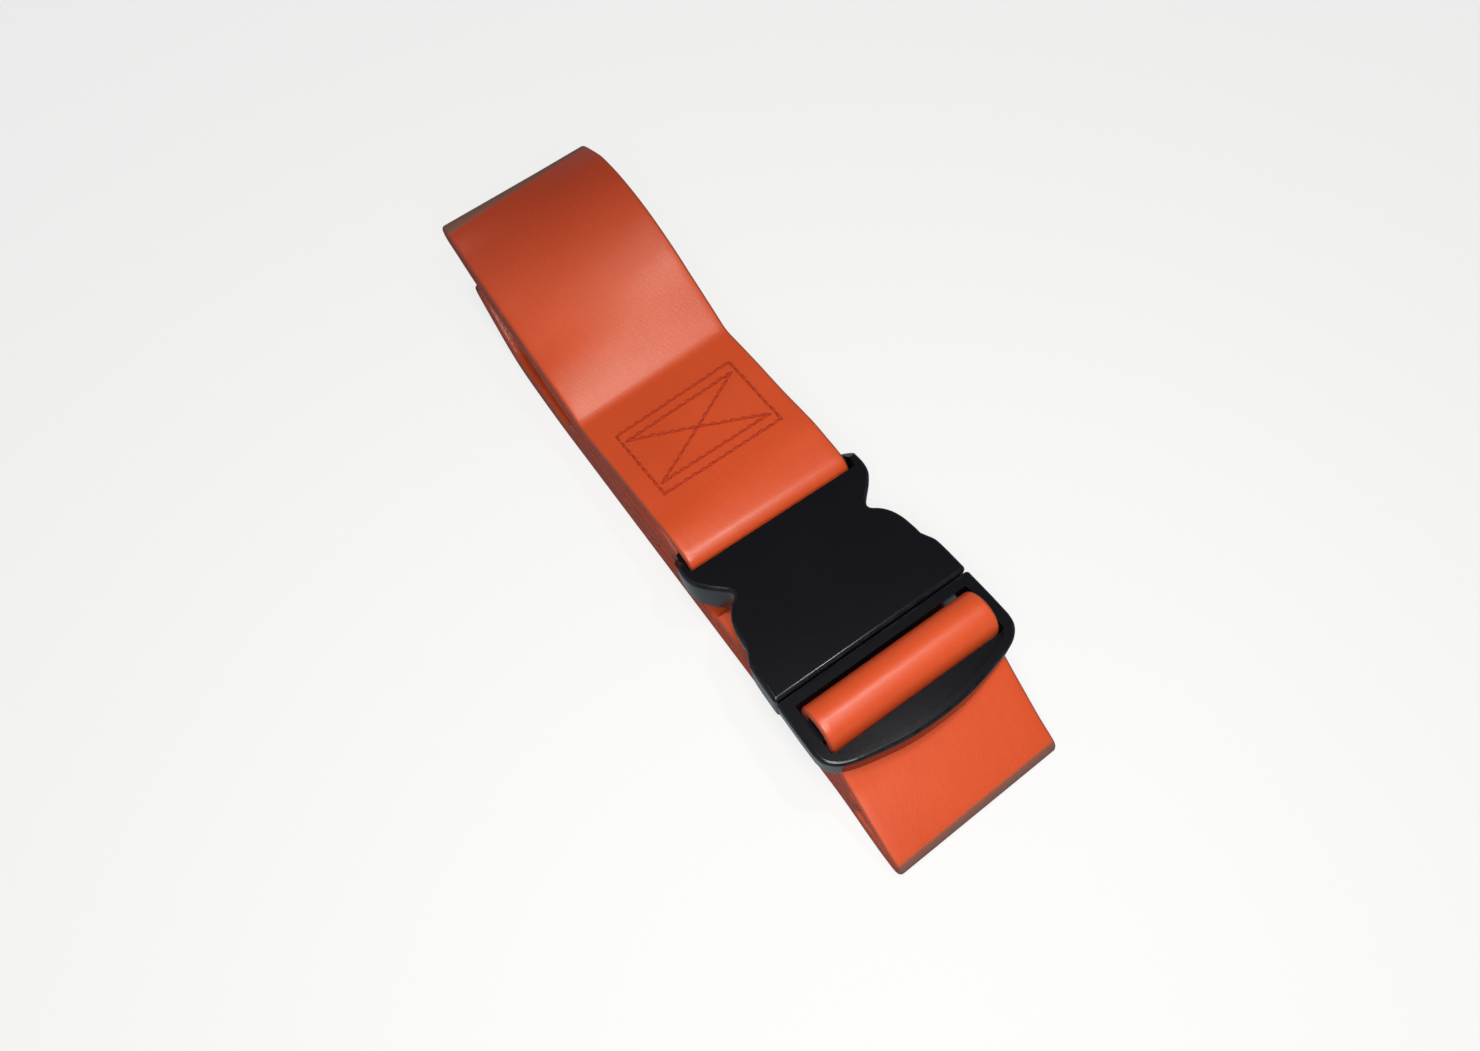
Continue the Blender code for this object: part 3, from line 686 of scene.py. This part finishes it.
def add_stitch(bm, uv_layer, ribbon, side, start, end, sewn):
    """One arched stitch that dips into the webbing at both ends."""
    heading = (end - start) / np.linalg.norm(end - start)
    rings = []
    for i in range(STITCH_STEPS + 1):
        t = i / STITCH_STEPS
        along, y = start + (end - start) * t
        arch = math.sin(math.pi * t)
        height = HALF_THICK + (0.06 + 0.30 * arch ** 0.6 - 0.40 * (1 - arch) ** 6)
        radius = THREAD_R * (0.42 + 0.58 * math.sin(math.pi * (0.06 + 0.88 * t)) ** 0.5)
        centre = ribbon.at(along, y, side * height)
        up = (ribbon.at(along, y, side * (height + 1.0)) - centre).normalized()
        beside = ribbon.at(along - heading[1] * 0.5, y + heading[0] * 0.5, side * height)
        across = (beside - centre).normalized()
        ring = []
        for j in range(THREAD_SIDES):
            turn = 2 * math.pi * j / THREAD_SIDES
            offset = across * math.cos(turn) * radius + up * math.sin(turn) * radius * 0.72
            ring.append(bm.verts.new((centre + offset) * MM))
        rings.append(ring)
    for i in range(STITCH_STEPS):
        for j in range(THREAD_SIDES):
            k = (j + 1) % THREAD_SIDES
            face = bm.faces.new((rings[i][j], rings[i][k], rings[i + 1][k], rings[i + 1][j]))
            face.smooth = True
            corners = [(i, j), (i, j + 1), (i + 1, j + 1), (i + 1, j)]
            for loop, (step, turn) in zip(face.loops, corners):
                loop[uv_layer].uv = ((sewn + step / STITCH_STEPS * STITCH_LENGTH) / 10.0,
                                     turn / THREAD_SIDES)
    bm.faces.new(rings[0][::-1])
    bm.faces.new(rings[-1])


def add_hole(bm, ribbon, side, along, y, radius):
    """A needle hole: a shallow plug set in the face, dark with painted shade."""
    surface = side * (HALF_THICK + 0.015)
    centre = ribbon.at(along, y, surface)
    up = (ribbon.at(along, y, side * (HALF_THICK + 1.0)) - centre).normalized()
    forward = (ribbon.at(along + 0.4, y, surface) - centre).normalized()
    across = up.cross(forward).normalized()
    mouth, bottom = [], []
    for j in range(HOLE_SIDES):
        turn = 2 * math.pi * j / HOLE_SIDES
        offset = forward * math.cos(turn) * radius + across * math.sin(turn) * radius * 0.8
        mouth.append(bm.verts.new((centre + offset + up * 0.02) * MM))
        bottom.append(bm.verts.new((centre + offset * 0.9 - up * 0.25) * MM))
    for j in range(HOLE_SIDES):
        k = (j + 1) % HOLE_SIDES
        bm.faces.new((mouth[j], bottom[j], bottom[k], mouth[k]))
    bm.faces.new(mouth)
    bm.faces.new(bottom[::-1])


def sew(name, ribbon, start, end, side, body, replaced):
    """A seam's stitches and needle holes; side is the sign of the face they lie on."""
    threads, holes = bmesh.new(), bmesh.new()
    uv_layer = threads.loops.layers.uv.new("strap_uv")
    rng = np.random.default_rng(7)
    sewn = 0.0
    for row in seam_rows(start, end):
        first, last = np.array(row, float)
        count = max(2, int(round(np.linalg.norm(last - first) / STITCH_PITCH)))
        step = (last - first) / count
        for k in range(count):
            jitter = rng.normal(0, 0.05, 4)
            add_stitch(threads, uv_layer, ribbon, side, first + step * (k + 0.07) + jitter[:2],
                       first + step * (k + 0.93) + jitter[2:], sewn)
            sewn += STITCH_PITCH
        for k in range(count + 1):
            along, y = first + step * k + rng.normal(0, 0.04, 2)
            add_hole(holes, ribbon, side, along, y, radius=0.40 + 0.06 * rng.random())
    for bm in (threads, holes):
        bmesh.ops.recalc_face_normals(bm, faces=bm.faces)
    register(make_object(name, threads, MAT_THREAD), body, replaced)
    register(make_object(name + "_needle_holes", holes, MAT_HOLE_SHADE), body)


ANY = (-INF, INF)
FIXED_END = fixed.along[-1]
BASE_END = adjustable.along[-1]
# ribbon, body, x range; then for each face: name, whether it faces up, range along the ribbon,
# range of heights, CAD piece
SEAMS = (
    (fixed, "fixed_strap", -47.0, -22.5, (
        ("buckle_seam_upper", True, (60, 120), ANY, "buckle_seam_needle_thread"),
        ("buckle_seam_under", False, (-INF, 45), ANY, "buckle_seam_bobbin_thread"))),
    (fixed, "fixed_strap", -41.0, -22.0, (
        ("fixed_loop_upper", True, (FIXED_END - 115, INF), (10.4, 12.2),
         "fixed_loop_needle_thread"),
        ("fixed_loop_under", False, (FIXED_END - 60, INF), (-INF, 9.6),
         "fixed_loop_bobbin_thread"))),
    (adjustable, "base", 13.5, 34.0, (
        ("base_loop_upper", True, (BASE_END - 62, INF), ANY, "base_loop_needle_thread"),
        ("base_loop_under", False, (BASE_END - 150, BASE_END - 62), (-INF, 8.2),
         "base_loop_bobbin_thread"))),
)
for ribbon, body, low_x, high_x, faces in SEAMS:
    for name, faces_up, along, heights, replaced in faces:
        start, end = sorted(ribbon.crossing(x, along, heights) for x in (low_x, high_x))
        middle = ribbon.crossing((low_x + high_x) / 2, along, heights)
        normal_up = ribbon.sample(ribbon.normal, middle)[1] > 0
        side = 1 if normal_up == faces_up else -1
        sew("stitches_" + name, ribbon, start, end, side, body, replaced)


# =====================================================================================
# buckle
# =====================================================================================
def prism(outline, low, high, name="tool"):
    """An (x, y) outline raised between two heights."""
    bm = bmesh.new()
    bottom = [bm.verts.new((x * MM, y * MM, low * MM)) for x, y in outline]
    top = [bm.verts.new((x * MM, y * MM, high * MM)) for x, y in outline]
    for i in range(len(outline)):
        j = (i + 1) % len(outline)
        bm.faces.new((bottom[i], bottom[j], top[j], top[i]))
    bm.faces.new(top)
    bm.faces.new(bottom[::-1])
    bmesh.ops.recalc_face_normals(bm, faces=bm.faces)
    return make_object(name, bm)


def side_prism(outline, half):
    """An (x, z) outline raised to half on each side of y = 0."""
    ob = prism([(x, -z) for x, z in outline], -half, half)
    for vert in ob.data.vertices:
        x, y, z = vert.co
        vert.co = (x, z, -y)
    return ob


def block(low, high):
    return prism([(low[0], low[1]), (high[0], low[1]), (high[0], high[1]), (low[0], high[1])],
                 low[2], high[2])


def window(x0, x1, half, low, high):
    """A block centred on y = 0."""
    return block((x0, -half, low), (x1, half, high))


def bevel(ob, width, segments, angle):
    edge = ob.modifiers.new("edge", "BEVEL")
    edge.width = width * MM
    edge.segments = segments
    edge.limit_method = "ANGLE"
    edge.angle_limit = math.radians(angle)
    edge.miter_outer = "MITER_ARC"
    edge.use_clamp_overlap = True


def combine(ob, tools, operation="DIFFERENCE"):
    for tool in tools:
        boolean = ob.modifiers.new(operation.lower(), "BOOLEAN")
        boolean.operation = operation
        boolean.object = tool
        boolean.solver = "EXACT"


def bake(ob, tools=()):
    """Applies every modifier and removes the tools."""
    bpy.context.view_layer.update()
    depsgraph = bpy.context.evaluated_depsgraph_get()
    mesh = bpy.data.meshes.new_from_object(ob.evaluated_get(depsgraph))
    ob.modifiers.clear()
    ob.data = mesh
    for tool in tools:
        bpy.data.objects.remove(tool, do_unlink=True)


def finish_plastic(ob, material, width=0.40, angle=38):
    """Breaks the edges left by the cuts, then shades the part."""
    bevel(ob, width, 3, angle)
    bake(ob)
    mesh = ob.data
    bm = bmesh.new()
    bm.from_mesh(mesh)
    bmesh.ops.remove_doubles(bm, verts=bm.verts, dist=2e-6)
    bmesh.ops.dissolve_degenerate(bm, edges=bm.edges, dist=1e-6)
    bmesh.ops.triangulate(bm, faces=[f for f in bm.faces if len(f.verts) > 4])
    bm.to_mesh(mesh)
    bm.free()
    mesh.materials.clear()
    mesh.materials.append(material)
    mesh.shade_smooth()
    mesh.set_sharp_from_angle(angle=math.radians(42))
    # edge_wear is 0 on every vertex of a level or upright face and 1 elsewhere
    wear = [1.0] * len(mesh.vertices)
    for poly in mesh.polygons:
        if not 0.15 < abs(poly.normal.z) < 0.9995:
            for i in poly.vertices:
                wear[i] = 0.0
    mesh.attributes.new("edge_wear", "FLOAT", "POINT").data.foreach_set("value", wear)
    for poly in mesh.polygons:         # the true flats stay flat up to their rounded edges
        if max(abs(poly.normal.x), abs(poly.normal.z)) > 0.99995 and poly.area > 0.25e-6:
            poly.use_smooth = False
    normals = ob.modifiers.new("normals", "WEIGHTED_NORMAL")
    normals.keep_sharp = True
    normals.weight = 80


def mirrored(half):
    return [(x, y) for x, y in half] + [(x, -y) for x, y in reversed(half) if y > 1e-6]


def moulding(name, half_outline, low):
    """A mirrored shell up to BUCKLE_TOP, drawn in at its foot, with rounded edges."""
    ob = prism(mirrored(half_outline), low, BUCKLE_TOP, name)
    top = max(vert.co.z for vert in ob.data.vertices)
    for vert in ob.data.vertices:
        if vert.co.z < top - 1e-6:
            vert.co.y *= 0.968
    bevel(ob, 1.2, 6, 60)
    bake(ob)
    return ob


BUCKLE_TOP = 27.2
HOUSING_BOTTOM = 14.7
HOUSING_MOUTH = 41.0        # x of the +x face
HOUSING_SLOT_HALF = 26.2    # half width of the webbing slot
PLUG_BOTTOM = 17.8
PLUG_SLOT_HALF = 25.9
BELOW, ABOVE = 5, 40        # heights clear of the buckle, for cutters

# half outlines, as (x, y)
HOUSING_HALF = (
    smooth([(-7.2, 17.0), (-7.2, 21.6), (-6.9, 24.6), (-5.9, 26.9), (-3.6, 28.1), (-0.6, 28.5),
            (2.2, 28.4), (4.5, 27.7), (7.4, 25.5), (10.0, 22.8), (11.2, 21.6)], step=0.7)
    + smooth([(12.1, 21.1), (13.0, 21.3), (14.7, 23.3), (16.9, 25.0), (20.0, 26.2),
              (24.0, 26.8), (26.4, 26.95)], step=0.7)
    + smooth([(27.9, 27.7), (30.0, 28.7), (34.0, 29.1)], step=0.8)
    + [(HOUSING_MOUTH, 29.3)]
)
CAVITY_HALF = [(8.6, 19.0), (13.8, 19.0), (13.8, 40.0), (28.2, 40.0), (28.2, 23.5), (60.0, 23.5)]
EAR_SLOPE = [(-12.0, 16.6), (-1.4, 27.6), (-1.4, 34.0), (-12.0, 34.0)]     # (x, z)
PLUG_HALF = (
    [(41.3, 28.5), (41.5, 29.0), (42.0, 29.3), (50.0, 29.5)]
    + smooth([(56.0, 29.5), (58.3, 29.0), (60.0, 27.9), (61.6, 25.9), (62.8, 23.0),
              (63.7, 19.6), (64.9, 14.0), (65.7, 9.0), (66.1, 4.0), (66.2, 0.0)], step=0.9)
)
PLUG_RECESS_HALF = (
    [(57.3, PLUG_SLOT_HALF)]
    + smooth([(57.8, 25.8), (59.2, 24.7), (60.3, 22.2), (61.3, 19.0), (62.5, 13.6),
              (63.3, 8.8), (63.7, 4.0), (63.8, 0.0)], step=0.9)
)
PLUG_EDGE_SLOPE = [(57.6, 24.0), (58.3, 24.0), (59.9, 21.6), (62.2, 20.3), (62.2, 19.0),
                   (57.6, 19.0)]                                           # (x, z)
PRONG = (
    [(37.3, 14.2), (37.3, 18.0), (33.0, 17.6), (29.4, 18.4), (28.1, 20.4)]
    + smooth([(28.0, 25.3), (25.0, 25.7), (21.0, 25.4), (18.0, 24.6), (15.6, 23.3)], step=0.7)
    + [(14.3, 22.2), (14.2, 18.6), (12.6, 17.6), (12.0, 15.6), (13.0, 13.6), (16.0, 13.0),
       (24.0, 13.2)]
)


def build_housing():
    housing = moulding("housing_shell", HOUSING_HALF, HOUSING_BOTTOM)
    half = HOUSING_SLOT_HALF
    ear_cut = side_prism(EAR_SLOPE, 40)
    between_ears = [block((-20, -26.15, 0), (20, 26.15, 50))]
    combine(ear_cut, between_ears)
    bake(ear_cut, between_ears)
    cutters = [
        prism(mirrored(CAVITY_HALF), 17.4, 24.5),
        window(-3.2, 1.1, half, BELOW, ABOVE),              # webbing slot
        window(-20, -2.7, half, 24.0, ABOVE),               # above the bar
        window(-20, -2.7, half, BELOW, 19.6),               # below the bar
        block((13.8, -40, BELOW), (28.2, -22.1, 18.4)),     # floor below the side openings
        block((13.8, 22.1, BELOW), (28.2, 40, 18.4)),
        ear_cut,
    ]
    combine(housing, cutters)
    bake(housing, cutters)
    finish_plastic(housing, MAT_HOUSING)
    register(housing, "housing", "buckle_housing")


def build_plug():
    plug = moulding("plug_frame", PLUG_HALF, PLUG_BOTTOM)
    half = PLUG_SLOT_HALF
    cutters = [
        window(44.4, 49.0, half, BELOW, ABOVE),             # webbing slots either side of the bar
        window(54.6, 58.3, half, BELOW, ABOVE),
        window(48.5, 55.1, half, 26.9, ABOVE),              # above the bar
        window(48.5, 55.1, half, BELOW, 22.2),              # below the bar
        window(57.3, 80, half, BELOW, 20.5),                # below the +x rim
        side_prism(PLUG_EDGE_SLOPE, half),
        prism(mirrored(PLUG_RECESS_HALF), 25.6, 42),
    ]
    tongue = window(10.5, 42.3, 6.5, 18.3, 23.6)
    bevel(tongue, 0.9, 4, 30)
    bake(tongue)
    joined = [tongue]
    for side in (-1, 1):
        low_y, high_y = sorted((side * 13.2, side * 18.8))
        joined.append(block((38.0, low_y, 18.0), (42.3, high_y, 23.9)))     # prong root
    combine(plug, cutters)
    combine(plug, joined, "UNION")
    bake(plug, cutters + joined)
    finish_plastic(plug, MAT_PLUG)
    register(plug, "plug", "buckle_plug")


def build_prong(side, word):
    prong = prism([(x, side * y) for x, y in PRONG], 17.9, 24.0, "prong_" + word)
    # finger grooves on the outer face
    low_y, high_y = sorted((side * 25.0, side * 30))
    grooves = [block((x - 0.35, low_y, 17.0), (x + 0.35, high_y, 25.0))
               for x in (17.6, 19.6, 21.6, 23.6, 25.6)]
    combine(prong, grooves)
    bevel(prong, 0.45, 4, 40)
    bake(prong, grooves)
    finish_plastic(prong, MAT_PRONG, width=0.12, angle=50)
    register(prong, word + "_prong", "plug_prong_" + word)


build_housing()
build_plug()
build_prong(-1, "left")
build_prong(1, "right")


# =====================================================================================
# floor, light, camera
# =====================================================================================
def floor_material():
    """White sheet, mostly glowing, so it keeps only a faint shadow; clear from below."""
    material = bpy.data.materials.new("studio_floor")
    mat = Nodes(material)
    mottle = mat.noise(mat.coordinates("Object"), scale=6.0, detail=2.0, roughness=0.5)
    colour = mat.mix(mottle, (0.80, 0.80, 0.80), (0.82, 0.82, 0.82))
    mat.surface(colour, roughness=0.9, specular=0.0)
    seen = mat.camera_ray()
    # the glow is dim and bluish on the object, bright and white to the camera
    bounce_blue, white = (0.66, 0.86, 1.0), (1.0, 1.0, 1.0)
    bounce_strength, seen_gain, glow_share = 0.26, 0.70, 0.80
    glow = mat.node("ShaderNodeEmission", {
        "Color": mat.mix(seen, bounce_blue, white),
        "Strength": mat.plus(bounce_strength, mat.times(seen, seen_gain))})
    lit = mat.mix_shader(glow_share, mat.shader.outputs[0], glow.outputs[0])
    below = mat.node("ShaderNodeNewGeometry").outputs["Backfacing"]
    clear = mat.node("ShaderNodeBsdfTransparent").outputs[0]
    mat.put(mat.output, {0: mat.mix_shader(below, lit, clear)})
    return material


def build_floor():
    bm = bmesh.new()
    bmesh.ops.create_grid(bm, x_segments=2, y_segments=2, size=3.0)
    floor = make_object("studio_floor", bm, floor_material())
    floor.location = (0, 0, -0.0004)


def area(name, direction, distance, size, power, colour=(1, 1, 1), target=(-0.02, 0, 0.02)):
    """Rectangular light at a distance from its target in the given direction, facing it."""
    toward = Vector(direction).normalized()
    light = bpy.data.lights.new(name, "AREA")
    light.shape = "RECTANGLE"
    light.size, light.size_y = size
    light.energy = power
    light.color = colour
    ob = bpy.data.objects.new(name, light)
    ob.location = Vector(target) + toward * distance
    ob.rotation_mode = "QUATERNION"
    ob.rotation_quaternion = (-toward).to_track_quat("-Z", "Y")
    ob.visible_camera = False
    scene.collection.objects.link(ob)


def build_world():
    """The camera sees a pale backdrop, while the object reflects a darker studio."""
    world = bpy.data.worlds.new("studio")
    scene.world = world
    sky = Nodes(world, shader="Background", output="World Output")
    height = sky.split(sky.coordinates("Generated"))[2]
    studio = sky.ramp(height, 0.0, 0.6, first=(0.30, 0.31, 0.32), last=(0.085, 0.085, 0.09))
    sky.put(sky.shader, {"Color": studio, "Strength": 1.0})
    pale = sky.node("ShaderNodeBackground", {"Color": (0.86, 0.865, 0.87, 1), "Strength": 1.0})
    seen = sky.mix_shader(sky.camera_ray(), sky.shader.outputs[0], pale.outputs[0])
    sky.put(sky.output, {0: seen})


def build_camera(azimuth, elevation, distance, target, roll, lens):
    """Camera on a sphere round the target, with angles in radians."""
    target = Vector(target)
    eye = target + distance * Vector((math.cos(elevation) * math.cos(azimuth),
                                      math.cos(elevation) * math.sin(azimuth),
                                      math.sin(elevation)))
    forward = (target - eye).normalized()
    right = forward.cross(Vector((0, 0, 1))).normalized()
    up = right.cross(forward)
    cosine, sine = math.cos(roll), math.sin(roll)
    right, up = right * cosine + up * sine, up * cosine - right * sine
    data = bpy.data.cameras.new("camera")
    data.sensor_fit = "HORIZONTAL"
    data.sensor_width = 36.0
    data.lens = lens
    data.clip_start = 0.01
    data.clip_end = 20.0
    camera = bpy.data.objects.new("camera", data)
    pose = Matrix((right, up, -forward)).transposed().to_4x4()
    pose.translation = eye * MM
    camera.matrix_world = pose
    scene.collection.objects.link(camera)
    scene.camera = camera


build_floor()
area("overhead", direction=(0.20, -0.09, 0.98), distance=0.72, size=(0.13, 0.13), power=1.70,
     colour=(1.0, 0.94, 0.80), target=(-0.065, 0, 0.027))
area("near_camera", direction=(0.46, -0.27, 0.85), distance=0.32, size=(0.15, 0.12), power=0.83,
     colour=(1.0, 0.99, 0.96), target=(0.02, 0, 0.02))
area("crisp_key", direction=(0.05, 0.21, 0.975), distance=0.25, size=(0.016, 0.016), power=0.13,
     target=(0.050, -0.012, 0.027))
area("left_rim", direction=(-0.10, -0.97, 0.22), distance=0.8, size=(0.7, 0.16), power=0.40,
     colour=(0.50, 0.76, 1.0))
build_world()

scene.view_settings.view_transform = "Standard"
scene.view_settings.look = "None"
scene.view_settings.exposure = 0.0
scene.view_settings.gamma = 1.0

build_camera(azimuth=-0.51161, elevation=1.06841, distance=274.96, target=(-10.52, -4.10, 10.0),
             roll=-0.11436, lens=24.324324)
